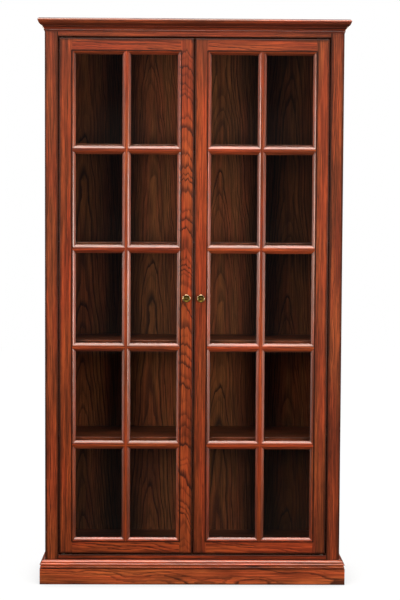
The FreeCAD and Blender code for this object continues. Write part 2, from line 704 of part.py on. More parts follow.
def moulding_round_case(name, top, profile, projection):
    """A front length and two side lengths of one moulding, mitred at the front corners."""
    corners = [(minus(c[0]), minus(c[1])) + tuple(c[2:]) for c in profile]
    half = f"places.half_width + {projection}"
    reach = f"{projection} + {BEYOND}"

    piece = new_body(f"{name}_front", "0", "places.front", top)
    section = new_sketch(piece, "YZ", minus(half))
    outline(section, corners)
    pad(piece, section, f"2 * ({half})")
    mitres = new_sketch(piece, "XY", f"{BEYOND}")
    for sign in ("0 - ", ""):
        outer = f"{sign}(places.half_width + {reach})"
        outline(mitres, [(outer, minus(reach)), (f"{sign}(places.half_width - {BEYOND})", f"{BEYOND}"),
                         (outer, f"{BEYOND}")])
    pocket(piece, mitres)
    publish(piece)

    piece = new_body(f"{name}_left", "0 - places.half_width", "places.front", top)
    section = new_sketch(piece, "XZ", projection)
    outline(section, corners)
    pad(piece, section, f"sizes.case_depth + {projection}", reverse=True)
    mitre = new_sketch(piece, "XY", f"{BEYOND}")
    outline(mitre, [(minus(reach), minus(reach)), (f"{BEYOND}", f"{BEYOND}"),
                    (f"{BEYOND}", minus(reach))])
    pocket(piece, mitre)
    publish(piece)
    mirrored(f"{name}_right", piece)


def make_mouldings():
    moulding_round_case("crown", "sizes.overall_height", crown_profile(),
                        "places.crown_projection")
    moulding_round_case("plinth_cap", "sizes.plinth_height + places.cap_height", cap_profile(),
                        "places.cap_projection")
    moulding_round_case("plinth", "sizes.plinth_height", plinth_profile(),
                        "sizes.plinth_thickness")


# --- doors: all pieces of the left door share its lower hinge-side front corner as origin --------

STILE_FLAT, STILE = "sizes.stile_flat", "places.stile_width"
RAIL_FLAT, RAIL = "sizes.rail_flat", "places.rail_height"
DOOR_WIDTH, DOOR_HEIGHT, DOOR_THICK = "places.door_width", "places.door_height", "sizes.door_thickness"
CENTRE = "places.door_width / 2"
HALF_FLAT, HALF_BAR = "sizes.muntin_flat / 2", "places.muntin_width / 2"
TENON_LOW, TENON_HIGH = "sizes.tenon_outer_shoulder", "sizes.rail_flat - sizes.tenon_inner_shoulder"
TENON_FRONT = "sizes.door_tenon_depth"
TENON_BACK = "sizes.door_tenon_depth + sizes.door_tenon_thickness"


def door_body(label, x=None):
    return new_body(label, x or "places.door_left", "places.door_front", "places.door_bottom")


def member_section(flat, member):
    """Section of a stile or rail: distance from its outer edge, and depth behind its face."""
    edge = "sizes.door_edge_radius"
    inner_rabbet = f"{member} - sizes.rabbet_width"
    return [
        (edge, "0", edge, ROUND),
        (flat, "0"),
        (flat, "sizes.quirk_depth"),
        (f"{flat} + sizes.quirk_width", "sizes.quirk_depth"),
        (member, "sizes.sticking_depth", "sizes.sticking_radius", ROUND),
        (member, "sizes.glass_seat"),
        (inner_rabbet, "sizes.glass_seat"),
        (inner_rabbet, DOOR_THICK),
        ("0", DOOR_THICK),
        ("0", edge),
    ]


def far_side(expression, length):
    return f"{length} - ({expression})"


def bar_notch(sketch, centre, along_x, near, turn=1):
    """The notch that takes the pointed end of a glazing bar.  near is the edge of the flat
    that the point reaches, turn is 1 where the moulded edge lies beyond it and -1 before it."""
    tip_out = f"({near}) + {turn} * (sizes.sticking_width + {BEYOND})"
    wide = f"({HALF_BAR} + {BEYOND})"
    across = [(near, f"{centre} - {HALF_FLAT}"), (tip_out, f"{centre} - {wide}"),
              (tip_out, f"{centre} + {wide}"), (near, f"{centre} + {HALF_FLAT}")]
    outline(sketch, across if along_x else [(b, a) for a, b in across])


def bar_point(sketch, centre, along_x, near, turn=1):
    """The two corners cut off the end of a glazing bar, which leave its point."""
    back = f"({near}) - {turn} * {BEYOND}"
    tip_out = f"({near}) + {turn} * (sizes.sticking_width + {BEYOND})"
    for side in ("-", "+"):
        wide = f"{centre} {side} ({HALF_BAR} + {BEYOND})"
        slim = f"{centre} {side} ({HALF_FLAT} - {BEYOND})"
        corner = [(back, slim), (tip_out, wide), (back, wide)]
        outline(sketch, corner if along_x else [(b, a) for a, b in corner])


def make_door_stile(name, hinge_side):
    piece = door_body(name)

    def across(expression):
        return expression if hinge_side else far_side(expression, DOOR_WIDTH)

    section = new_sketch(piece, "XY")
    outline(section, [(across(c[0]), c[1]) + tuple(c[2:]) for c in member_section(STILE_FLAT, STILE)])
    pad(piece, section, DOOR_HEIGHT)

    # the moulded edge stops in a mitre where the rails meet the stile
    ends = new_sketch(piece, "XZ")
    for lift in (lambda z: z, lambda z: far_side(z, DOOR_HEIGHT)):
        beyond = across(f"{STILE} + {BEYOND}")
        outline(ends, [(across(STILE_FLAT), lift(minus(BEYOND))), (beyond, lift(minus(BEYOND))),
                       (beyond, lift(f"{RAIL} + {BEYOND}")), (across(STILE_FLAT), lift(RAIL_FLAT))])
    pocket(piece, ends)

    notch = new_sketch(piece, "XZ")
    bar_notch(notch, "places.first_muntin", True, across(STILE_FLAT), 1 if hinge_side else -1)
    notches = pocket(piece, notch)
    repeat(piece, [notches], "Z_Axis", "places.pane_pitch", "sizes.pane_rows - 1")

    mortises = new_sketch(piece, "YZ", across(STILE_FLAT))
    rectangle(mortises, (TENON_FRONT, TENON_LOW), (TENON_BACK, TENON_HIGH))
    rectangle(mortises, (TENON_FRONT, far_side(TENON_HIGH, DOOR_HEIGHT)),
              (TENON_BACK, far_side(TENON_LOW, DOOR_HEIGHT)))
    pocket(piece, mortises, "sizes.door_tenon_length + sizes.tenon_end_clearance",
           reverse=not hinge_side)
    if hinge_side:
        recess_door_plates(piece)
    round_stile_ends(piece)
    return piece


def round_stile_ends(piece):
    """Round the short front edges at both ends, like the long outer edge."""
    edge = "sizes.door_edge_radius"
    corners = new_sketch(piece, "YZ")
    for lift in (lambda z: z, lambda z: far_side(z, DOOR_HEIGHT)):
        outline(corners, [(edge, lift("0"), edge, HOLLOW), (edge, lift(minus(BEYOND))),
                          (minus(BEYOND), lift(minus(BEYOND))), (minus(BEYOND), lift(edge)),
                          ("0", lift(edge))])
    pocket(piece, corners, reverse=True)


def recess_door_plates(piece):
    """Seats for the two pivot plates in the ends of the hinge stile."""
    for height, upward in (("0", True), (DOOR_HEIGHT, False)):
        recess = new_sketch(piece, "XY", height)
        plate_outline(recess, "sizes.pivot_inset", "sizes.pivot_depth")
        pocket(piece, recess, "sizes.plate_thickness", reverse=upward)
        drill(piece, "XY", height, [("sizes.pivot_inset", "sizes.pivot_depth")],
              "sizes.pivot_diameter + 2 * sizes.pivot_wood_clearance",
              "sizes.plate_thickness + sizes.pivot_bite + sizes.pivot_wood_clearance",
              reverse=upward)


def make_door_rail(name, lower):
    piece = door_body(name)

    def up(expression):
        return expression if lower else far_side(expression, DOOR_HEIGHT)

    section = new_sketch(piece, "YZ", STILE_FLAT)
    outline(section, [(c[1], up(c[0])) + tuple(c[2:]) for c in member_section(RAIL_FLAT, RAIL)])
    pad(piece, section, f"{DOOR_WIDTH} - 2 * {STILE_FLAT}")
    tenons = new_sketch(piece, "YZ", f"{STILE_FLAT} - sizes.door_tenon_length")
    low, high = sorted([up(TENON_LOW), up(TENON_HIGH)], key=value)
    rectangle(tenons, (TENON_FRONT, low), (TENON_BACK, high))
    pad(piece, tenons, f"{DOOR_WIDTH} - 2 * ({STILE_FLAT} - sizes.door_tenon_length)")

    ends = new_sketch(piece, "XZ")
    for along in (lambda x: x, lambda x: far_side(x, DOOR_WIDTH)):
        outline(ends, [(along(f"{STILE_FLAT} - {BEYOND}"), up(f"{RAIL_FLAT} - {BEYOND}")),
                       (along(f"{STILE} + {BEYOND}"), up(f"{RAIL} + {BEYOND}")),
                       (along(f"{STILE_FLAT} - {BEYOND}"), up(f"{RAIL} + {BEYOND}"))])
    pocket(piece, ends)
    notch = new_sketch(piece, "XZ")
    bar_notch(notch, CENTRE, False, up(RAIL_FLAT), 1 if lower else -1)
    pocket(piece, notch)
    return piece


def bar_section(centre):
    """Section of a glazing bar: moulded on both sides, with a glass rabbet behind each."""
    right = [
        (HALF_FLAT, "0"),
        (HALF_FLAT, "sizes.quirk_depth"),
        (f"{HALF_FLAT} + sizes.quirk_width", "sizes.quirk_depth"),
        (HALF_BAR, "sizes.sticking_depth", "sizes.sticking_radius", ROUND),
        (HALF_BAR, "sizes.glass_seat"),
        (f"{HALF_BAR} - sizes.rabbet_width", "sizes.glass_seat"),
        (f"{HALF_BAR} - sizes.rabbet_width", DOOR_THICK),
    ]
    left = []
    arcs = [corner[2:] for corner in right]
    for index in range(len(right) - 1, -1, -1):
        after = arcs[index + 1] if index + 1 < len(right) else ()
        left.append((minus(right[index][0]), right[index][1]) + tuple(after))
    return [(f"{centre} + {c[0]}", c[1]) + tuple(c[2:]) for c in right + left]


def make_vertical_muntin(name):
    piece = door_body(name)
    section = new_sketch(piece, "XY", RAIL_FLAT)
    outline(section, bar_section(CENTRE))
    pad(piece, section, f"{DOOR_HEIGHT} - 2 * {RAIL_FLAT}")
    points = new_sketch(piece, "XZ")
    bar_point(points, CENTRE, False, RAIL_FLAT, 1)
    bar_point(points, CENTRE, False, far_side(RAIL_FLAT, DOOR_HEIGHT), -1)
    pocket(piece, points)
    notch = new_sketch(piece, "XZ")
    bar_notch(notch, "places.first_muntin", True, f"{CENTRE} + {HALF_FLAT}", 1)
    bar_notch(notch, "places.first_muntin", True, f"{CENTRE} - {HALF_FLAT}", -1)
    notches = pocket(piece, notch)
    repeat(piece, [notches], "Z_Axis", "places.pane_pitch", "sizes.pane_rows - 1")
    return piece


def make_horizontal_muntins(name):
    """The short bars between the vertical bar and the stiles, two in each row."""
    piece = door_body(name, "places.door_middle")
    outer, inner = f"({CENTRE} - {STILE_FLAT})", HALF_FLAT
    section = new_sketch(piece, "YZ", minus(outer))
    outline(section, [(c[1], c[0]) + tuple(c[2:]) for c in bar_section("places.first_muntin")])
    bar = pad(piece, section, f"{outer} - {inner}")
    points = new_sketch(piece, "XZ")
    bar_point(points, "places.first_muntin", True, minus(outer), 1)
    bar_point(points, "places.first_muntin", True, minus(inner), -1)
    ends = pocket(piece, points)
    repeat_grid(piece, [bar, ends], [("Z_Axis", "places.pane_pitch", "sizes.pane_rows - 1")],
                "YZ_Plane")
    return piece


def make_glass_panes(name):
    piece = door_body(name, "places.door_middle")
    lap = "(sizes.rabbet_width - sizes.glass_clearance)"
    right = minus(f"{HALF_BAR} - {lap}")
    left = minus(f"{HALF_BAR} + places.pane_width + {lap}")
    sheet = new_sketch(piece, "XZ", "0 - sizes.glass_seat")
    rectangle(sheet, (left, f"{RAIL} - {lap}"), (right, f"{RAIL} + places.pane_height + {lap}"))
    pane = pad(piece, sheet, "sizes.glass_thickness", reverse=True)
    repeat_grid(piece, [pane], [("Z_Axis", "places.pane_pitch", "sizes.pane_rows")], "YZ_Plane")
    return piece


def make_glazing_beads(name):
    """Four mitred strips behind each pane."""
    piece = door_body(name, "places.door_middle")
    lap, wide, joint = "sizes.rabbet_width", "sizes.bead_width", "sizes.bead_joint"
    right = minus(f"{HALF_BAR} - {lap}")
    left = minus(f"{HALF_BAR} + places.pane_width + {lap}")
    low = f"({RAIL} - {lap})"
    high = f"({RAIL} + places.pane_height + {lap})"
    front = "sizes.glass_seat + sizes.glass_thickness"
    strips = new_sketch(piece, "XZ", minus(front))
    for edge, sign in ((left, "+"), (right, "-")):
        inner = f"{edge} {sign} {wide}"
        outline(strips, [(edge, f"{low} + {joint}"), (inner, f"{low} + {wide} + {joint}"),
                         (inner, f"{high} - {wide} - {joint}"), (edge, f"{high} - {joint}")])
    for edge, sign in ((low, "+"), (high, "-")):
        inner = f"{edge} {sign} {wide}"
        outline(strips, [(f"{left} + {joint}", edge), (f"{right} - {joint}", edge),
                         (f"{right} - {wide} - {joint}", inner),
                         (f"{left} + {wide} + {joint}", inner)])
    depth = f"{DOOR_THICK} - ({front}) - sizes.bead_drop"
    beads = pad(piece, strips, depth, reverse=True)
    repeat_grid(piece, [beads], [("Z_Axis", "places.pane_pitch", "sizes.pane_rows")], "YZ_Plane")
    return piece


# --- knobs, hinges and catches ------------------------------------------------------------------

KNOB_X = "places.door_width - sizes.knob_inset"


def make_knob(name):
    """A turned knob: foot, neck, flared head with a rim round a hollow, and a button in it."""
    piece = new_body(name, f"places.door_left + {KNOB_X}", "places.door_front",
                     "places.door_bottom + sizes.knob_height")
    foot, neck = "sizes.knob_base_diameter / 2", "sizes.knob_neck_diameter / 2"
    head, button = "sizes.knob_diameter / 2", "sizes.knob_button_diameter / 2"
    neck_start = "sizes.knob_base_thickness"
    neck_end = f"({neck_start} + sizes.knob_neck_length)"
    ring = f"({neck_end} + sizes.knob_head_depth)"
    face = f"({ring} + sizes.knob_rim)"
    dish = f"({face} - sizes.knob_dish_depth)"
    button_face = f"({dish} + sizes.knob_button_height)"
    profile = [
        ("0", "0"),
        (foot, "0"),
        (foot, neck_start),
        (neck, neck_start),
        (neck, neck_end),
        (head, ring),
        (head, face),
        (f"{head} - sizes.knob_rim_width", face),
        (f"{head} - sizes.knob_rim_width - sizes.knob_dish_depth", dish),
        (button, dish),
        (button, button_face),
        ("0", button_face),
    ]
    sketch = new_sketch(piece, "XY")
    outline(sketch, [(radius, minus(height)) for radius, height in profile])
    revolve(piece, sketch, "V_Axis")
    return piece


def make_door_plates(name):
    """The two plates in the ends of the hinge stile, each with the hole that turns on a pin."""
    piece = door_body(name)
    for height, upward in (("0", True), (DOOR_HEIGHT, False)):
        plan = new_sketch(piece, "XY", height)
        plate_outline(plan, "sizes.pivot_inset", "sizes.pivot_depth")
        circles(plan, [("sizes.pivot_inset", "sizes.pivot_depth")],
                "sizes.pivot_diameter + 2 * sizes.pivot_clearance")
        pad(piece, plan, "sizes.plate_thickness", reverse=not upward)
    return piece


def make_strike_plate(name):
    """The steel plate on the back of a door's upper rail that the magnet holds."""
    wide, tall = "sizes.strike_width", "sizes.strike_height"
    return plain_board(name, f"0 - sizes.catch_inset - {wide} / 2", "places.door_back",
                       f"places.strike_middle - {tall} / 2", wide, "sizes.strike_thickness", tall)


def both_sides(label, left_piece):
    """One sub-part that holds a left-hand group and its mirror image."""
    twin = doc.addObject("Part::Mirroring", f"{label}_twin")
    twin.Source = left_piece
    twin.Normal = (1, 0, 0)
    pair = doc.addObject("Part::Compound", label)
    pair.Label = label
    pair.Links = [left_piece, twin]
    return publish(pair)


def make_pivot_hardware():
    """Plates with riveted pins in the face frame's rails, and the washers under the doors."""
    plates = new_body("left_case_plates", "places.pivot_side", "places.pivot_back")
    ends = [("places.opening_bottom", False, "sizes.door_floor_gap"),
            ("places.opening_top", True, "sizes.door_gap")]
    for height, pin_down, gap in ends:
        plan = new_sketch(plates, "XY", height)
        plate_outline(plan, "0", "0")
        pad(plates, plan, "sizes.plate_thickness", reverse=not pin_down)
        axis = new_sketch(plates, "XY", height)
        circles(axis, [("0", "0")], "sizes.pivot_diameter")
        pad(plates, axis, f"{gap} + sizes.plate_thickness + sizes.pivot_bite", reverse=pin_down)
    both_sides("case_pivot_plates", plates)

    washer = new_body("left_washer", "places.pivot_side", "places.pivot_back",
                      "places.opening_bottom")
    ring = new_sketch(washer, "XY")
    circles(ring, [("0", "0")], "sizes.washer_diameter")
    circles(ring, [("0", "0")], "sizes.pivot_diameter + 2 * sizes.pivot_clearance")
    pad(washer, ring, "sizes.door_floor_gap - sizes.washer_clearance")
    both_sides("pivot_washers", washer)


def make_catches():
    """Magnetic catches under the top board, one for each door."""
    spot = ("0 - sizes.catch_inset", "places.catch_front", "places.ceiling")
    wide, deep, tall = "sizes.catch_width / 2", "sizes.catch_depth", "sizes.catch_height"
    magnet = "sizes.magnet_width / 2"
    magnet_low = f"0 - ({tall} + sizes.magnet_height) / 2"
    magnet_high = f"0 - ({tall} - sizes.magnet_height) / 2"

    shell = new_body("left_catch", *spot)
    plan = new_sketch(shell, "XY")
    rectangle(plan, (minus(wide), "0"), (wide, deep))
    pad(shell, plan, tall, reverse=True)
    slot = new_sketch(shell, "XZ")
    rectangle(slot, (minus(magnet), magnet_low), (magnet, magnet_high))
    pocket(shell, slot, "sizes.magnet_length")
    both_sides("magnetic_catches", shell)

    bar = new_body("left_magnet", *spot)
    face = new_sketch(bar, "XZ")
    rectangle(face, (minus(magnet), magnet_low), (magnet, magnet_high))
    pad(bar, face, "sizes.magnet_length", reverse=True)
    both_sides("catch_magnets", bar)


def make_doors():
    """Both doors: every piece of the left one, and its mirror image."""
    pieces = [
        make_door_stile("left_door_hinge_stile", True),
        make_door_stile("left_door_meeting_stile", False),
        make_door_rail("left_door_top_rail", False),
        make_door_rail("left_door_bottom_rail", True),
        make_vertical_muntin("left_door_vertical_muntin"),
        make_horizontal_muntins("left_door_horizontal_muntins"),
        make_glass_panes("left_door_glass_panes"),
        make_glazing_beads("left_door_glazing_beads"),
        make_knob("left_door_knob"),
        make_door_plates("left_door_pivot_plates"),
        make_strike_plate("left_door_strike_plate"),
    ]
    for piece in pieces:
        publish(piece)
        mirrored(piece.Label.replace("left_", "right_", 1), piece)


# --- build, check and write ----------------------------------------------------------------------

def check_document():
    """Stop with a plain message if anything in the document failed or cuts nothing."""
    doc.recompute()
    problems = []
    for item in doc.Objects:
        if {"Invalid", "Error"} & set(item.State):
            problems.append(f"{item.Label}: {item.State}")
        if item.TypeId == "PartDesign::Pocket" and item.BaseFeature is not None:
            if item.Shape.Volume > item.BaseFeature.Shape.Volume - 1e-3:
                problems.append(f"{item.Label} of {item.getParentGeoFeatureGroup().Label} cuts nothing")
    for piece in sub_parts:
        if piece.Shape.isNull() or not piece.Shape.isValid() or not piece.Shape.Solids:
            problems.append(f"{piece.Label}: no valid solid")
    if problems:
        raise RuntimeError("\n".join(problems))


def write_parts():
    os.makedirs("parts", exist_ok=True)
    for piece in sub_parts:
        piece.Shape.exportStep(f"parts/{piece.Label}.step")


make_side_panels()
make_floor_and_top_board()
make_back_panel()
make_top_cover()
make_base()
make_face_frame()
make_shelves()
make_mouldings()
make_pivot_hardware()
make_catches()
make_doors()
check_document()
write_parts()
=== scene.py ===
"""Looks of the bookcase: its woods, glass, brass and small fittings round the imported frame."""

import math

import bmesh
import bpy
from mathutils import Matrix, Vector


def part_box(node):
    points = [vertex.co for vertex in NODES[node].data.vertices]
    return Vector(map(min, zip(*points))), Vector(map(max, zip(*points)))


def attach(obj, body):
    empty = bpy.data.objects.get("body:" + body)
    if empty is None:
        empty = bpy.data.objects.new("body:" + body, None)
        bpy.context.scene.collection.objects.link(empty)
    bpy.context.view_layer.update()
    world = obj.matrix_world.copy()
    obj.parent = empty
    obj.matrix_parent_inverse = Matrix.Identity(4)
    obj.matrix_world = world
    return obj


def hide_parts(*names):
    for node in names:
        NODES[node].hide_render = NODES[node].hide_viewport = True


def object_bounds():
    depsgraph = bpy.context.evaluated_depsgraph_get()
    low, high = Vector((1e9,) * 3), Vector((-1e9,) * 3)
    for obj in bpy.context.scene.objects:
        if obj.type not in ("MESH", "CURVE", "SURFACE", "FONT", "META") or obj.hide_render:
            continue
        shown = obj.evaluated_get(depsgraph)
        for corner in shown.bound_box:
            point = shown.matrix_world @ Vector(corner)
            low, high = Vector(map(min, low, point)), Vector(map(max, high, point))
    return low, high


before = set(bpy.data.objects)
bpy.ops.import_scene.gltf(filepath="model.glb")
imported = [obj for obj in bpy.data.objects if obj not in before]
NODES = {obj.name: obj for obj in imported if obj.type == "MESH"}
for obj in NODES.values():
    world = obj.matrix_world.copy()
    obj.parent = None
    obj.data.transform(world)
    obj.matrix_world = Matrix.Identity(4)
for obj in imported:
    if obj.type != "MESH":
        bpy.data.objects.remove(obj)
cad_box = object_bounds()

DOORS = {"left_door": -1, "right_door": 1}

# Places, in metres.
DOOR_OUTER, DOOR_INNER = 0.4755, 0.0015
DOOR_BOTTOM, DOOR_TOP = 0.107, 1.934
DOOR_FACE = -0.151
OPENING_SIDE, OPENING_BOTTOM, OPENING_TOP = 0.4785, 0.103, 1.937
CASE_SIDE, CAP_TOP, PLINTH_QUIRK = 0.5255, 0.086, 0.0570
STILE_FLAT, RAIL_FLAT = 0.0465, 0.0455
QUIRK_REACH, QUIRK_SHIFT = 0.0046, 0.0020
KNOB_X, KNOB_Z, KNOB_HOLLOW = 0.0255, 1.0215, 0.0165
PIVOT_X, CATCH_X = 0.4615, 0.066

# Screws, in metres: inwards from a pivot, along a strike plate, either side of a catch's middle,
# and on the top cover.
PLATE_SCREWS = (0.0110, 0.0250)
STRIKE_SCREWS = (0.0045, 0.0255)
CATCH_SCREWS = (-0.0158, 0.0158)
COVER_SIDE = 0.512
COVER_FRONT, COVER_MIDDLE, COVER_BACK = -0.125, 0.0175, 0.160

# Linear colours. A wood has the colour of its early wood and that of its rings.
# The dark of glaze and pores, also used for the shade painted into corners, gaps, quirks and
# slopes.
DARK_GLAZE_AND_SHADE = (0.022, 0.0060, 0.0030)
MAHOGANY = {"light": (0.385, 0.061, 0.0145), "deep": (0.055, 0.0095, 0.0042)}
BROWNER = {"light": (0.370, 0.067, 0.0180), "deep": (0.055, 0.0110, 0.0050)}
BOLD = {"light": (0.420, 0.069, 0.0165), "deep": (0.032, 0.007, 0.0040)}
# The plinth's colours carry extra green and blue, a painted sheen of gloss over the wood.
PLINTH_BOLD_WITH_SHEEN = {"light": (0.435, 0.085, 0.0240), "deep": (0.034, 0.009, 0.0056)}
DARK_VENEER = {"light": (0.155, 0.045, 0.014), "deep": (0.015, 0.0045, 0.002)}
SHELF_VENEER = {"light": (0.215, 0.052, 0.018), "deep": (0.055, 0.013, 0.006)}
PLAIN_WOOD = {"light": (0.420, 0.250, 0.120), "deep": (0.270, 0.145, 0.062)}
REDDER, GREENER = (1.03, 0.92, 0.95), (0.98, 1.14, 1.08)
WHITE = (1.0, 1.0, 1.0)
WARM_LIGHT = (1.0, 0.90, 0.81)

# Wood finish, and the strength and reach of the glaze and painted shade along lines, in quirks and
# in corners.
TONE_SPREAD, LINE_DEPTH = 0.45, 0.36
LINE_STRENGTH, QUIRK_STRENGTH, PORE_STRENGTH = 0.86, 0.95, 0.62
CORNER_REACH = 0.013
COAT_ROUGHNESS, SPECULAR_LEVEL = 0.24, 0.10

# The back panel's leaves of veneer: where the first starts, how wide each is, and how far the
# next one is cut across and along the log.
LEAF_START, LEAF_WIDTH, LEAF_ACROSS, LEAF_ALONG = -0.540, 0.26, 0.004, 0.47


# --- node graphs ------------------------------------------------------------------------------


def rgba(colour):
    if isinstance(colour, tuple) and len(colour) == 3:
        return (*colour, 1.0)
    return colour


class Graph:
    """Adds nodes to a tree. What goes into an input is a number, a colour or another output."""

    def __init__(self, tree):
        self.tree = tree

    def node(self, kind, settings=None, **inputs):
        made = self.tree.nodes.new(kind)
        for name, setting in (settings or {}).items():
            setattr(made, name, setting)
        for name, content in inputs.items():
            self.feed(made.inputs[name.replace("_", " ")], content)
        return made

    def feed(self, socket, content):
        if isinstance(content, bpy.types.NodeSocket):
            self.tree.links.new(content, socket)
        else:
            socket.default_value = content

    def math(self, operation, *contents):
        made = self.node("ShaderNodeMath", {"operation": operation})
        for socket, content in zip(made.inputs, contents):
            self.feed(socket, content)
        return made.outputs[0]

    def add(self, *contents):
        total = contents[0]
        for content in contents[1:]:
            total = self.math("ADD", total, content)
        return total

    def times(self, *contents):
        product = contents[0]
        for content in contents[1:]:
            product = self.math("MULTIPLY", product, content)
        return product

    def less(self, first, second):
        return self.math("SUBTRACT", first, second)

    def length(self, x, y):
        return self.math("SQRT", self.add(self.times(x, x), self.times(y, y)))

    def step(self, content, low, high, out_low=0.0, out_high=1.0):
        """Smooth step from out_low to out_high while the content goes from low to high."""
        made = self.node("ShaderNodeMapRange", {"interpolation_type": "SMOOTHSTEP"},
                         Value=content, From_Min=low, From_Max=high,
                         To_Min=out_low, To_Max=out_high)
        return made.outputs[0]

    def mix(self, factor, first, second, blend="MIX"):
        made = self.node("ShaderNodeMix", {"data_type": "RGBA", "blend_type": blend})
        self.feed(made.inputs["Factor"], factor)
        for name, content in (("A", first), ("B", second)):
            socket = next(s for s in made.inputs if s.name == name and s.type == "RGBA")
            self.feed(socket, rgba(content))
        return next(s for s in made.outputs if s.type == "RGBA")

    def split(self, vector):
        return self.node("ShaderNodeSeparateXYZ", Vector=vector).outputs

    def join(self, x, y, z):
        return self.node("ShaderNodeCombineXYZ", X=x, Y=y, Z=z).outputs[0]

    def scaled(self, vector, factors):
        made = self.node("ShaderNodeVectorMath", {"operation": "MULTIPLY"})
        self.feed(made.inputs[0], vector)
        self.feed(made.inputs[1], factors)
        return made.outputs[0]

    def noise(self, vector, detail=2.0, roughness=0.5, dimensions="3D"):
        made = self.node("ShaderNodeTexNoise", {"noise_dimensions": dimensions},
                         Scale=1.0, Detail=detail, Roughness=roughness)
        self.feed(made.inputs["W" if dimensions == "1D" else "Vector"], vector)
        return made.outputs

    def even_noise(self, place, scale, detail=2.0, roughness=0.5):
        return self.noise(self.scaled(place, (scale,) * 3), detail, roughness)[0]

    def facing_front(self):
        """How squarely the surface faces the front or the back, from 0 to 1."""
        normal = self.node("ShaderNodeTexCoord").outputs["Normal"]
        return self.math("ABSOLUTE", self.split(normal)[1])


def new_group(name, inputs, outputs):
    tree = bpy.data.node_groups.new(name, "ShaderNodeTree")
    for names, direction in ((inputs, "INPUT"), (outputs, "OUTPUT")):
        for socket, kind in names.items():
            tree.interface.new_socket(socket, in_out=direction, socket_type="NodeSocket" + kind)
    graph = Graph(tree)
    return graph, graph.node("NodeGroupInput").outputs, graph.node("NodeGroupOutput").inputs


def new_material(name):
    material = bpy.data.materials.new(name)
    material.use_nodes = True
    graph = Graph(material.node_tree)
    graph.tree.nodes.clear()
    return material, graph, graph.node("ShaderNodeTexCoord").outputs["Object"]


def finish_material(graph, shader):
    output = graph.node("ShaderNodeOutputMaterial")
    graph.tree.links.new(shader, output.inputs["Surface"])


def paint(name, material):
    for slot in NODES[name].material_slots:
        slot.material = material


# --- wood -------------------------------------------------------------------------------------


def wood_figure():
    """Growth rings, pores and broad tone of a board that lies beside or over the heart of a log.

    Board is (across, depth, along) from the heart, in metres."""
    graph, given, result = new_group(
        "wood_figure",
        {"Board": "Vector", "Ring": "Float", "Taper": "Float", "Wander": "Float",
         "Ripple": "Float", "Band": "Float"},
        {"Rings": "Float", "Pores": "Float", "Tone": "Float", "Lines": "Float", "Hue": "Float"})
    board = given["Board"]

    # distance from the heart, which wanders along the log
    across, depth, along = graph.split(board)
    bend = graph.split(graph.noise(graph.scaled(board, (2.6, 2.6, 3.1)), 1.5)["Color"])
    shift = graph.times(given["Wander"], 4.0)
    across = graph.add(across, graph.times(graph.less(bend[0], 0.5), shift))
    depth = graph.add(depth, graph.times(graph.less(bend[1], 0.5), shift))
    radius = graph.add(graph.length(across, depth), graph.times(along, given["Taper"]))

    # rings of uneven width and strength, soft on one side and sharp on the other
    rough = graph.noise(graph.scaled(board, (55.0, 55.0, 9.0)), 3.0, 0.6)[0]
    ripple = graph.times(graph.less(rough, 0.5), given["Ring"], given["Ripple"])
    turns = graph.math("DIVIDE", graph.add(radius, ripple), given["Ring"])
    uneven = graph.noise(graph.times(turns, 0.31), 1.0, dimensions="1D")[0]
    turns = graph.add(turns, graph.times(graph.less(uneven, 0.5), 2.4))
    part = graph.math("FRACT", turns)
    late = graph.less(1.0, graph.step(part, 0.02, given["Band"]))
    onset = graph.step(part, 0.90, 1.0)
    broad = graph.noise(graph.scaled(board, (13.0, 13.0, 2.2)), 2.0)[0]
    streak = graph.noise(graph.scaled(board, (95.0, 95.0, 3.4)), 2.5, 0.6)[0]
    which = graph.node("ShaderNodeTexWhiteNoise", {"noise_dimensions": "1D"},
                       W=graph.math("FLOOR", graph.add(turns, 0.12))).outputs["Value"]
    strength = graph.times(graph.step(which, -0.5, 1.0),
                           graph.step(streak, 0.15, 0.60, 0.45, 1.0))
    rings = graph.times(graph.math("MAXIMUM", late, onset), strength)

    # dark fibres and finer vessels, stronger in the rings
    fibre = graph.noise(graph.scaled(board, (420.0, 420.0, 14.0)), 3.0, 0.65)[0]
    vessel = graph.noise(graph.scaled(board, (1500.0, 1500.0, 55.0)), 2.0, 0.6)[0]
    pores = graph.math("MAXIMUM", graph.step(fibre, 0.50, 0.68), graph.step(vessel, 0.56, 0.66))
    pores = graph.times(pores, graph.add(0.35, graph.times(rings, 0.65)))

    tone = graph.add(graph.times(broad, 0.50), graph.times(streak, 0.50))
    lines = graph.noise(graph.scaled(board, (250.0, 250.0, 8.0)), 2.0, 0.7)[0]
    hue = graph.noise(graph.scaled(board, (30.0, 30.0, 2.6)), 2.0)[1]
    for name, content in (("Rings", rings), ("Pores", pores), ("Tone", tone), ("Lines", lines),
                          ("Hue", graph.split(hue)[1])):
        graph.feed(result[name], content)
    return graph.tree


FIGURE = wood_figure()


def board_vector(graph, place, run, heart, start):
    """(across, depth, along) from the heart of the log; run is the axis that the grain follows."""
    x, y, z = graph.split(place)
    across, depth, along = {"x": (z, y, x), "y": (x, z, y), "z": (x, y, z)}[run]
    return graph.join(graph.less(across, heart[0]), graph.less(depth, heart[1]),
                      graph.add(along, start))


def leaf_vector(graph, place, heart, start):
    """The same for an upright face laid up from leaves that repeat the log's figure."""
    x, y, z = graph.split(place)
    leaves = graph.math("DIVIDE", graph.less(x, LEAF_START), LEAF_WIDTH)
    number = graph.math("FLOOR", leaves)
    inside = graph.times(graph.less(graph.math("FRACT", leaves), 0.5), LEAF_WIDTH)
    return graph.join(graph.add(inside, graph.times(number, LEAF_ACROSS)),
                      graph.less(y, heart[1]),
                      graph.add(z, start, graph.times(number, LEAF_ALONG)))


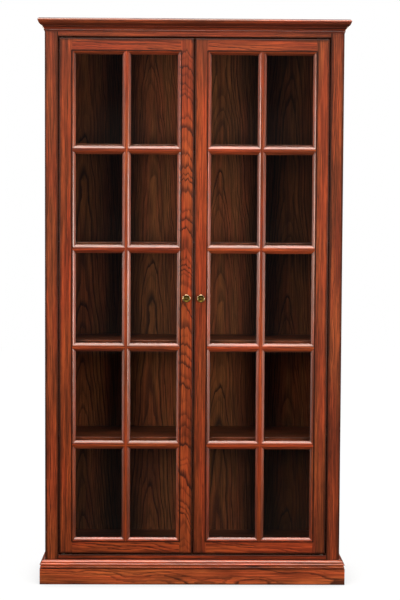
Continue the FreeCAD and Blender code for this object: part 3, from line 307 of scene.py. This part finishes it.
def edge_glaze_and_shade(graph, place, lines, width):
    """How dark the glaze and painted shade lie along straight lines of the front.

    A line is ("x" or "z", place) or has its two ends on the other axis added."""
    x, _, z = graph.split(place)
    nearest = None
    for axis, where, *ends in lines:
        run, other = (x, z) if axis == "x" else (z, x)
        gap = graph.math("ABSOLUTE", graph.less(run, where))
        if ends:
            gap = graph.math("MAXIMUM", gap, graph.less(min(ends), other))
            gap = graph.math("MAXIMUM", gap, graph.less(other, max(ends)))
        nearest = gap if nearest is None else graph.math("MINIMUM", nearest, gap)
    reach = graph.times(graph.add(0.45, graph.even_noise(place, 24.0, 3.0)), width)
    near = graph.less(1.0, graph.step(graph.math("DIVIDE", nearest, reach), 0.1, 1.0))
    return graph.times(near, graph.step(graph.facing_front(), 0.05, 0.45))


def wood_material(name, palette, run, heart, start, ring=0.0064, taper=0.004, wander=0.006,
                  ripple=2.0, band=0.46, contrast=0.75, leaves=False, lines=(), line_width=0.013,
                  quirks=(), moulded=0.0, corner_glaze=0.85, lacquer=1.0, roughness=0.50):
    """Stained, lacquered wood with glaze and painted shade in its corners, along lines and quirks.

    ring, taper, wander, ripple and band shape the figure, and contrast is its strength. The slope
    setting paints shade on what doesn't face the front, where the figure fades too."""
    material, graph, place = new_material(name)
    if leaves:
        vector = leaf_vector(graph, place, heart, start)
    else:
        vector = board_vector(graph, place, run, heart, start)
    figure = graph.node("ShaderNodeGroup", {"node_tree": FIGURE}, Board=vector, Ring=ring,
                        Taper=taper, Wander=wander, Ripple=ripple, Band=band).outputs
    rings, pores = figure["Rings"], figure["Pores"]
    if moulded:
        slope = graph.step(graph.facing_front(), 0.985, 0.80)
        rings = graph.times(rings, graph.less(1.0, graph.times(slope, 0.75)))

    colour = graph.mix(graph.times(rings, contrast), palette["light"], palette["deep"])
    lift = graph.times(graph.step(figure["Tone"], 0.36, 0.64,
                                  1.0 - TONE_SPREAD, 1.0 + TONE_SPREAD * 0.45),
                       graph.step(figure["Lines"], 0.34, 0.66,
                                  1.0 - LINE_DEPTH, 1.0 + LINE_DEPTH * 0.8))
    colour = graph.mix(1.0, colour, graph.join(lift, lift, lift), "MULTIPLY")
    tint = graph.mix(graph.step(figure["Hue"], 0.36, 0.64), REDDER, GREENER)
    colour = graph.mix(1.0, colour, tint, "MULTIPLY")
    colour = graph.mix(graph.times(pores, PORE_STRENGTH), colour, DARK_GLAZE_AND_SHADE)
    # painted shade, partly standing for glaze: darker where the surface is hemmed in, in corners,
    # gaps and recesses
    if corner_glaze:
        open_share = graph.node("ShaderNodeAmbientOcclusion", {"samples": 6},
                                Distance=CORNER_REACH).outputs["AO"]
        corners = graph.step(open_share, 0.97, 0.38)
        colour = graph.mix(graph.times(corners, corner_glaze), colour, DARK_GLAZE_AND_SHADE)
    shine = lacquer
    # glaze and painted shade along the edges and gaps of the front and in the quirks, where the
    # coat is thinner too
    for places, reach, strength in ((lines, line_width, LINE_STRENGTH),
                                    (quirks, QUIRK_REACH, QUIRK_STRENGTH)):
        if places:
            glaze = graph.times(edge_glaze_and_shade(graph, place, places, reach), strength)
            colour = graph.mix(glaze, colour, DARK_GLAZE_AND_SHADE)
            shine = graph.times(shine, graph.less(1.0, glaze))
    # painted shade on the surfaces that turn away from the front
    if moulded:
        colour = graph.mix(graph.times(slope, moulded), colour, DARK_GLAZE_AND_SHADE)

    height = graph.add(graph.times(pores, -1.0), graph.times(rings, -0.35))
    bump = graph.node("ShaderNodeBump", Strength=0.35, Distance=0.00025, Height=height)
    shader = graph.node("ShaderNodeBsdfPrincipled", Base_Color=colour,
                        Roughness=graph.add(roughness, graph.times(pores, 0.18)),
                        Normal=bump.outputs[0], Coat_Weight=shine,
                        Coat_Roughness=COAT_ROUGHNESS, Specular_IOR_Level=SPECULAR_LEVEL)
    finish_material(graph, shader.outputs[0])
    return material


def middle(name):
    low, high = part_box(name)
    return (low + high) / 2


painted = []


def board(name, run, side, behind, palette=MAHOGANY, shade=1.0, **looks):
    """Paint a node as a board cut side metres beside and behind metres behind the log's heart."""
    centre = middle(name)
    across, depth = {"x": (centre.z, centre.y), "y": (centre.x, centre.z),
                     "z": (centre.x, centre.y)}[run]
    heart = (across - side, depth + behind)
    # each board comes from another length of the log
    start = 3.7 * (len(painted) % 11) + 0.61 * len(painted)
    palette = {part: tuple(shade * share for share in colour) for part, colour in palette.items()}
    paint(name, wood_material(name, palette, run, heart, start, **looks))
    painted.append(name)


# --- boards -----------------------------------------------------------------------------------

# glaze and painted shade along the frame's outer edges, the door openings' edges and above the
# plinth cap
stile_looks = {"palette": BROWNER, "contrast": 0.9,
               "lines": [("x", -OPENING_SIDE), ("x", OPENING_SIDE),
                         ("x", -CASE_SIDE), ("x", CASE_SIDE)]}
rail_looks = {"lines": [("z", OPENING_BOTTOM), ("z", OPENING_TOP), ("z", CAP_TOP)],
              "line_width": 0.008}
board("frame_left_stile", "z", 0.11, 0.05, taper=0.010, **stile_looks)
board("frame_right_stile", "z", -0.15, 0.06, shade=0.88, **stile_looks)
board("frame_top_rail", "x", 0.12, 0.05, **rail_looks)
board("frame_bottom_rail", "x", -0.12, 0.04, shade=1.15, **rail_looks)
board("left_side_panel", "z", 0.10, 0.30, taper=0.02)
board("right_side_panel", "z", -0.10, 0.30, taper=0.02)
for part in ("front", "left", "right"):
    run = "x" if part == "front" else "y"
    # the crown: darkened overall, on its slopes and in its corners, as painted shade
    board("crown_" + part, run, 0.10, 0.08, shade=0.85, corner_glaze=0.95, contrast=0.8,
          moulded=0.6)
    # the plinth cap: lightened, in part a painted highlight on its rounded top
    board("plinth_cap_" + part, run, 0.09, 0.08, shade=1.5, contrast=0.6)
    # the plinth: painted sheen in its colours, painted contact shadow along its foot, painted
    # shade in its quirk
    board("plinth_" + part, run, 0.035, 0.050, PLINTH_BOLD_WITH_SHEEN, shade=1.6, ring=0.0095, taper=0.03,
          wander=0.020, ripple=1.2, band=0.5, contrast=0.85, lines=[("z", 0.0)], line_width=0.006,
          quirks=[("z", PLINTH_QUIRK)], corner_glaze=0.40)

for door, side in DOORS.items():
    outer, inner = side * (DOOR_OUTER - STILE_FLAT), side * (DOOR_INNER + STILE_FLAT)
    lower, upper = DOOR_BOTTOM + RAIL_FLAT, DOOR_TOP - RAIL_FLAT
    # glaze and painted shade along each door's edges and gaps, and painted shade in the quirks
    # round its panes
    looks = {"lines": [("x", side * DOOR_OUTER), ("x", side * DOOR_INNER),
                       ("z", DOOR_BOTTOM), ("z", DOOR_TOP)],
             "quirks": [("x", outer + side * QUIRK_SHIFT, lower, upper),
                        ("x", inner - side * QUIRK_SHIFT, lower, upper),
                        ("z", lower - QUIRK_SHIFT, outer, inner),
                        ("z", upper + QUIRK_SHIFT, outer, inner)]}
    name = door + "_"
    left = door == "left_door"
    palette, shade, rail_shade = (MAHOGANY, 1.0, 1.08) if left else (BROWNER, 0.84, 0.98)
    board(name + "hinge_stile", "z", side * 0.17, 0.06, palette, shade, moulded=0.25, **looks)
    if left:
        board(name + "meeting_stile", "z", 0.004, 0.045, BOLD, shade=0.88, ring=0.0090,
              taper=0.24, wander=0.014, ripple=1.4, band=0.50, contrast=0.9, moulded=0.25,
              **looks)
    else:
        board(name + "meeting_stile", "z", 0.15, 0.05, shade=0.9, moulded=0.25, **looks)
    board(name + "top_rail", "x", 0.07, 0.05, shade=rail_shade, taper=0.03, contrast=0.95,
          moulded=0.62, **looks)
    board(name + "bottom_rail", "x", 0.05, 0.06, shade=1.15, taper=0.04, contrast=0.95,
          moulded=0.25, **looks)
    board(name + "vertical_muntin", "z", 0.12, 0.05, moulded=0.44)
    board(name + "horizontal_muntins", "x", 0.10, 0.05, moulded=0.36)
    board(name + "glazing_beads", "z", 0.08, 0.05)

paint("back_panel", wood_material(
    "back_panel", DARK_VENEER, "z", (0.0, middle("back_panel").y + 0.035), 0.4, ring=0.0085,
    taper=0.060, wander=0.012, ripple=0.8, contrast=1.0, leaves=True, lacquer=0.25,
    corner_glaze=0.0))
shelf_looks = {"palette": SHELF_VENEER, "lacquer": 0.35, "corner_glaze": 0.0}
for name in ("shelf_1", "shelf_2", "shelf_3", "shelf_4", "case_floor"):
    board(name, "x", 0.15, 0.07, **shelf_looks)
board("case_top_board", "x", -0.15, 0.07, **shelf_looks)
for name in ("base_front_rail", "base_back_rail", "base_corner_blocks"):
    board(name, "x", 0.05, 0.06, PLAIN_WOOD, lacquer=0.0, roughness=0.75, contrast=0.6,
          corner_glaze=0.15)
board("top_cover_panel", "x", 0.02, 0.07, taper=0.05, wander=0.02, **shelf_looks)


# --- glass, metal and plastic -----------------------------------------------------------------


def glass_material():
    """Thin clear float glass: it lets light through and mirrors more towards grazing angles."""
    material, graph, place = new_material("float_glass")
    bump = graph.node("ShaderNodeBump", Strength=0.06, Distance=0.002,
                      Height=graph.even_noise(place, 5.0, 1.0))
    clear = graph.node("ShaderNodeBsdfTransparent", Color=(0.955, 0.965, 0.955, 1.0))
    mirror = graph.node("ShaderNodeBsdfAnisotropic", Color=rgba(WHITE), Roughness=0.015,
                        Normal=bump.outputs[0])
    facing = graph.node("ShaderNodeLayerWeight", Blend=0.5).outputs["Facing"]
    grazing = graph.math("POWER", facing, 5.0)
    made = graph.node("ShaderNodeMixShader")
    for socket, content in zip(made.inputs, (graph.add(0.04, graph.times(grazing, 0.96)),
                                             clear.outputs[0], mirror.outputs[0])):
        graph.feed(socket, content)
    finish_material(graph, made.outputs[0])
    return material


def metal_material(name, light, dark, roughness, grain, blotches):
    material, graph, place = new_material(name)
    tarnish = graph.step(graph.even_noise(place, blotches, 4.0, 0.6), 0.38, 0.66)
    fine = graph.even_noise(place, grain)
    bump = graph.node("ShaderNodeBump", Strength=0.3, Distance=0.00005, Height=fine)
    shader = graph.node("ShaderNodeBsdfPrincipled", Base_Color=graph.mix(tarnish, light, dark),
                        Metallic=1.0,
                        Roughness=graph.add(roughness, graph.times(fine, 0.12),
                                            graph.times(tarnish, 0.12)),
                        Normal=bump.outputs[0])
    finish_material(graph, shader.outputs[0])
    return material


def plastic_material(name, colour, speck, roughness):
    material, graph, place = new_material(name)
    fine = graph.even_noise(place, 1500.0)
    bump = graph.node("ShaderNodeBump", Strength=0.4, Distance=0.0001, Height=fine)
    shader = graph.node("ShaderNodeBsdfPrincipled", Roughness=roughness, Normal=bump.outputs[0],
                        Base_Color=graph.mix(graph.step(fine, 0.35, 0.7), colour, speck))
    finish_material(graph, shader.outputs[0])
    return material


def brass_material(centre):
    """Antique brass: dark olive in the hollow and rubbed bright on the rim, lit on its upper half
    as a painted highlight.

    centre is on the knob's axis, in its hollow."""
    material, graph, place = new_material("antique_brass")
    x, y, z = graph.split(place)
    x, z = graph.less(x, centre.x), graph.less(z, centre.z)
    radius = graph.length(x, z)
    patches = graph.even_noise(place, 260.0, 4.0, 0.6)
    # rubbed wear on the rim with painted light: bright above the knob's axis, dull below it
    rubbed_and_highlit = graph.times(
        graph.step(graph.add(radius, graph.times(graph.less(patches, 0.5), 0.0016)),
                   0.0110, 0.0132),
        graph.step(y, centre.y + 0.004, centre.y - 0.001),
        graph.step(z, -0.013, 0.001, 0.08, 1.0))
    button = graph.times(graph.less(1.0, graph.step(radius, 0.0020, 0.0046)), 0.14)
    worn_and_highlit = graph.math("MAXIMUM", rubbed_and_highlit, button)
    dull = graph.mix(patches, (0.115, 0.080, 0.012), (0.055, 0.040, 0.008))
    bright = graph.mix(patches, (0.80, 0.62, 0.40), (0.52, 0.38, 0.20))
    bump = graph.node("ShaderNodeBump", Strength=0.2, Distance=0.00008, Height=patches)
    shader = graph.node("ShaderNodeBsdfPrincipled", Base_Color=graph.mix(worn_and_highlit, dull, bright),
                        Metallic=1.0, Roughness=graph.less(0.44, graph.times(worn_and_highlit, 0.24)),
                        Normal=bump.outputs[0])
    finish_material(graph, shader.outputs[0])
    return material


glass = glass_material()
browned = metal_material("browned_steel", (0.17, 0.13, 0.10), (0.09, 0.07, 0.055), 0.38,
                         grain=400.0, blotches=90.0)
screw_steel = metal_material("screw_steel", (0.30, 0.25, 0.18), (0.15, 0.12, 0.085), 0.30,
                             grain=700.0, blotches=300.0)
catch_plastic = plastic_material("catch_plastic", (0.075, 0.036, 0.022), (0.10, 0.05, 0.03), 0.5)
ferrite = plastic_material("ferrite", (0.055, 0.055, 0.058), (0.11, 0.11, 0.115), 0.62)
for door in DOORS:
    paint(door + "_glass_panes", glass)
    paint(door + "_pivot_plates", browned)
    paint(door + "_strike_plate", browned)
paint("case_pivot_plates", browned)
paint("pivot_washers", browned)
paint("magnetic_catches", catch_plastic)
paint("catch_magnets", ferrite)


# --- knobs and screws -------------------------------------------------------------------------


def mesh_object(name, shape, material, body):
    """Turn a bmesh into a named piece that rides on a body."""
    mesh = bpy.data.meshes.new(name)
    bmesh.ops.recalc_face_normals(shape, faces=shape.faces)
    shape.to_mesh(mesh)
    shape.free()
    mesh.materials.append(material)
    made = bpy.data.objects.new(name, mesh)
    bpy.context.scene.collection.objects.link(made)
    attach(made, body)
    return made


def turned(profile, steps, placing):
    """A closed turned shape. The profile is (radius, height) from one end to the other."""
    shape = bmesh.new()
    rings = []
    for radius, height in profile:
        if radius < 1e-7:
            rings.append([shape.verts.new((0.0, 0.0, height))])
            continue
        turn = [2 * math.pi * step / steps for step in range(steps)]
        rings.append([shape.verts.new((radius * math.cos(a), radius * math.sin(a), height))
                      for a in turn])
    for lower, upper in zip(rings, rings[1:]):
        for step in range(steps):
            after = (step + 1) % steps
            corners = [lower[step % len(lower)], lower[after % len(lower)],
                       upper[after % len(upper)], upper[step % len(upper)]]
            shape.faces.new(list(dict.fromkeys(corners)))
    bmesh.ops.transform(shape, matrix=placing, verts=shape.verts)
    return shape


def arc(centre, radius, start, end, steps):
    """Points on an arc of a profile; angles in degrees from the radius axis."""
    for step in range(steps + 1):
        angle = math.radians(start + (end - start) * step / steps)
        yield centre[0] + radius * math.cos(angle), centre[1] + radius * math.sin(angle)


def knob_profile():
    """From the door outwards, in metres: foot, neck, flare, rolled rim, hollow and button."""
    points = [(0.0, 0.0)]
    points += arc((0.0072, 0.0008), 0.0008, -90, 0, 4)
    points += arc((0.0068, 0.0013), 0.0012, 0, 90, 5)
    points += [(0.0058, 0.0026)]
    points += arc((0.0075, 0.0058), 0.0030, 250, 130, 10)
    points += [(0.0062, 0.0096)]
    points += arc((0.0058, 0.0166), 0.0062, -62, -18, 6)
    points += arc((0.01305, 0.01575), 0.00145, -70, 35, 8)
    points += arc((0.01215, 0.01815), 0.00135, -10, 165, 12)
    points += arc((0.0, 0.0322), 0.0186, -54.0, -72.0, 6)
    points += arc((0.0046, 0.0159), 0.0012, 0, 90, 5)
    points += [(0.0024, 0.01745), (0.0, 0.01760)]
    return points


def make_knob(door, side):
    foot = Vector((side * KNOB_X, DOOR_FACE, KNOB_Z))
    placing = Matrix.Translation(foot) @ Matrix.Rotation(math.radians(90), 4, "X")
    hollow = Vector((foot.x, DOOR_FACE - KNOB_HOLLOW, foot.z))
    knob = mesh_object(door + "_turned_knob", turned(knob_profile(), 72, placing),
                       brass_material(hollow), door)
    for polygon in knob.data.polygons:
        polygon.use_smooth = True
    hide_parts(door + "_knob")


def add_screw_head(shape, place, facing, radius, rise, turn):
    """A slotted head: its foot is sunk in what it holds, its top stands rise above the face."""
    steps = 12
    half_slot = 0.15 * radius
    edge = math.asin(half_slot / radius)
    foot, floor = -0.0005, 0.12 * rise
    sides = []
    for start in (0.0, math.pi):
        sweep = [start + edge + (math.pi - 2 * edge) * step / steps for step in range(steps + 1)]
        sides.append([(radius * math.cos(a), radius * math.sin(a)) for a in sweep])
    made = []

    def corner(point, height):
        made.append(shape.verts.new((point[0], point[1], height)))
        return made[-1]

    feet, floors, tops = ([[corner(point, height) for point in side] for side in sides]
                          for height in (foot, floor, rise))
    top_edges = []
    for low, level, high in zip(feet, floors, tops):
        shape.faces.new(high)
        for at in range(steps):
            shape.faces.new((low[at], low[at + 1], level[at + 1], level[at]))
            shape.faces.new((level[at], level[at + 1], high[at + 1], high[at]))
            top_edges.append(shape.edges.get((high[at], high[at + 1])))
        shape.faces.new((level[0], high[0], high[-1], level[-1]))
    # between the two halves: the slot's floor and its two open ends, and under them the foot
    first, second = floors
    shape.faces.new((first[0], first[-1], second[0], second[-1]))
    shape.faces.new((feet[0][-1], feet[1][0], second[0], first[-1]))
    shape.faces.new((feet[1][-1], feet[0][0], first[0], second[-1]))
    shape.faces.new(feet[0] + feet[1])
    bevel = bmesh.ops.bevel(shape, geom=top_edges, offset=min(0.35 * rise, 0.0003), segments=2,
                            affect="EDGES")
    for vertex in set(bevel["verts"]):
        if vertex not in made:
            made.append(vertex)
    outwards = Vector(facing).to_track_quat("Z", "Y").to_matrix().to_4x4()
    placing = Matrix.Translation(place) @ outwards @ Matrix.Rotation(math.radians(turn), 4, "Z")
    bmesh.ops.transform(shape, matrix=placing, verts=[v for v in made if v.is_valid])


def make_screws(name, body, heads, radius, rise):
    """Screws of one kind as one piece, each slot at another angle. A head is (place, facing)."""
    shape = bmesh.new()
    for number, (place, facing) in enumerate(heads):
        add_screw_head(shape, place, facing, radius, rise, 37.0 * number + 20.0)
    mesh_object(name, shape, screw_steel, body)


UP, DOWN, BACK = (0.0, 0.0, 1.0), (0.0, 0.0, -1.0), (0.0, 1.0, 0.0)


def two_rows(xs, y, low, high):
    """Heads at the same places in two rows; low and high are each (height, facing)."""
    return [((x, y, height), facing) for height, facing in (low, high) for x in xs]


for door, side in DOORS.items():
    make_knob(door, side)
    low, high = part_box(door + "_pivot_plates")
    ends = [side * (PIVOT_X - reach) for reach in PLATE_SCREWS]
    make_screws(door + "_plate_screws", door,
                two_rows(ends, (low.y + high.y) / 2, (low.z, DOWN), (high.z, UP)),
                radius=0.0030, rise=0.0004)
    low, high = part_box(door + "_strike_plate")
    make_screws(door + "_strike_screws", door,
                [((low.x + inset, high.y, (low.z + high.z) / 2), BACK)
                 for inset in STRIKE_SCREWS],
                radius=0.0024, rise=0.00015)
    make_screws(door + "_knob_screw", door,
                [((side * KNOB_X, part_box(door + "_meeting_stile")[1].y, KNOB_Z), BACK)],
                radius=0.0038, rise=0.0016)

low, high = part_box("case_pivot_plates")
ends = [side * (PIVOT_X - reach) for side in (-1, 1) for reach in PLATE_SCREWS]
make_screws("case_plate_screws", "case",
            two_rows(ends, (low.y + high.y) / 2, (OPENING_BOTTOM, UP), (OPENING_TOP, DOWN)),
            radius=0.0030, rise=0.0004)
low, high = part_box("magnetic_catches")
make_screws("catch_screws", "case",
            [((side * (CATCH_X + reach), (low.y + high.y) / 2, low.z), DOWN)
             for side in (-1, 1) for reach in CATCH_SCREWS],
            radius=0.0026, rise=0.0004)
low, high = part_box("top_cover_panel")
make_screws("cover_screws", "case",
            [((x, y, high.z), UP) for x in (-COVER_SIDE, 0.0, COVER_SIDE)
             for y in (COVER_FRONT, COVER_BACK)] +
            [((x, COVER_MIDDLE, high.z), UP) for x in (-COVER_SIDE, COVER_SIDE)],
            radius=0.0040, rise=0.0003)


# --- studio -----------------------------------------------------------------------------------


def studio_floor():
    """A floor that glows white for the camera alone, so that it lights the bookcase little."""
    shape = bmesh.new()
    bmesh.ops.create_grid(shape, x_segments=24, y_segments=24, size=9.0)
    mesh = bpy.data.meshes.new("studio_floor")
    shape.to_mesh(mesh)
    shape.free()
    floor = bpy.data.objects.new("studio_floor", mesh)
    bpy.context.scene.collection.objects.link(floor)
    floor.location.z = cad_box[0].z - 0.0005
    material, graph, place = new_material("pale_floor")
    colour = graph.mix(graph.even_noise(place, 1.5), (0.045, 0.045, 0.045), (0.055, 0.055, 0.055))
    diffuse = graph.node("ShaderNodeBsdfDiffuse", Color=colour)
    x, y, _ = graph.split(place)
    seen = graph.node("ShaderNodeLightPath").outputs["Is Camera Ray"]
    # painted contact shadow: the glow dims where the bookcase hems the floor in, and a little near
    # the bookcase
    contact = graph.node("ShaderNodeAmbientOcclusion", {"samples": 8}, Distance=0.16)
    shade = graph.step(contact.outputs["AO"], 0.1, 0.9, 0.65, 1.0)
    brightness = graph.step(graph.length(x, y), 0.4, 2.2, 0.97, 1.0)
    glow = graph.node("ShaderNodeEmission", Color=rgba(WHITE),
                      Strength=graph.times(brightness, shade, seen))
    both = graph.node("ShaderNodeAddShader")
    graph.feed(both.inputs[0], diffuse.outputs[0])
    graph.feed(both.inputs[1], glow.outputs[0])
    finish_material(graph, both.outputs[0])
    mesh.materials.append(material)


def studio_world():
    """White behind everything for the camera, and nearly dark as a light."""
    world = bpy.data.worlds.new("studio")
    bpy.context.scene.world = world
    world.use_nodes = True
    graph = Graph(world.node_tree)
    graph.tree.nodes.clear()
    seen = graph.node("ShaderNodeLightPath").outputs["Is Camera Ray"]
    background = graph.node("ShaderNodeBackground", Color=rgba(WHITE),
                            Strength=graph.add(0.03, graph.times(seen, 0.97)))
    output = graph.node("ShaderNodeOutputWorld")
    graph.tree.links.new(background.outputs[0], output.inputs["Surface"])


def softbox(name, place, target, width, height, power, spread=180.0, gloss_only=False):
    data = bpy.data.lights.new(name, "AREA")
    data.shape = "RECTANGLE"
    data.size, data.size_y, data.energy, data.color = width, height, power, WARM_LIGHT
    data.spread = math.radians(spread)
    lamp = bpy.data.objects.new(name, data)
    bpy.context.scene.collection.objects.link(lamp)
    lamp.location = place
    lamp.rotation_euler = (Vector(target) - Vector(place)).to_track_quat("-Z", "Y").to_euler()
    lamp.visible_camera = False
    lamp.visible_diffuse = not gloss_only


def make_camera():
    place = (-0.03646, -5.0988, 1.28399)
    yaw, pitch, roll = 0.011966, 0.054193, 0.005190
    forward = Vector((math.sin(yaw) * math.cos(pitch), math.cos(yaw) * math.cos(pitch),
                      -math.sin(pitch)))
    level = Vector((math.cos(yaw), -math.sin(yaw), 0.0))
    rise = level.cross(forward)
    right = level * math.cos(roll) + rise * math.sin(roll)
    up = rise * math.cos(roll) - level * math.sin(roll)
    data = bpy.data.cameras.new("camera")
    data.lens, data.sensor_width = 84.0, 36.0
    camera = bpy.data.objects.new("camera", data)
    bpy.context.scene.collection.objects.link(camera)
    turn = Matrix((right, up, -forward)).transposed().to_4x4()
    camera.matrix_world = Matrix.Translation(place) @ turn
    bpy.context.scene.camera = camera


studio_floor()
studio_world()
# name, place, target, width, height, watts
softbox("left_softbox", (-2.15, -2.5, 1.50), (0.0, 0.0, 1.28), 0.5, 1.3, 6.8, spread=66.0)
softbox("right_softbox", (2.15, -2.5, 1.05), (0.0, 0.0, 0.85), 0.5, 1.3, 8.6, spread=66.0)
softbox("top_softbox", (0.0, -0.95, 3.9), (0.0, -0.6, 1.0), 2.2, 1.35, 110.0)
softbox("front_card", (0.0, -2.0, 3.55), (0.0, 0.0, 0.7), 2.6, 1.8, 110.0, gloss_only=True)
softbox("left_wall", (-3.0, 0.0, 1.65), (0.0, 0.0, 1.4), 3.0, 1.8, 28.0)
softbox("right_wall", (3.0, 0.0, 1.65), (0.0, 0.0, 1.4), 3.0, 1.8, 28.0)
softbox("left_card", (-2.9, -0.2, 0.65), (0.0, 0.0, 0.5), 2.6, 1.3, 32.0, gloss_only=True)
softbox("right_card", (2.9, -0.2, 0.65), (0.0, 0.0, 0.5), 2.6, 1.3, 32.0, gloss_only=True)
softbox("back_fill", (0.0, 4.0, 2.4), (0.0, 0.0, 1.0), 3.0, 2.0, 60.0)
make_camera()
bpy.context.scene.view_settings.view_transform = "Standard"
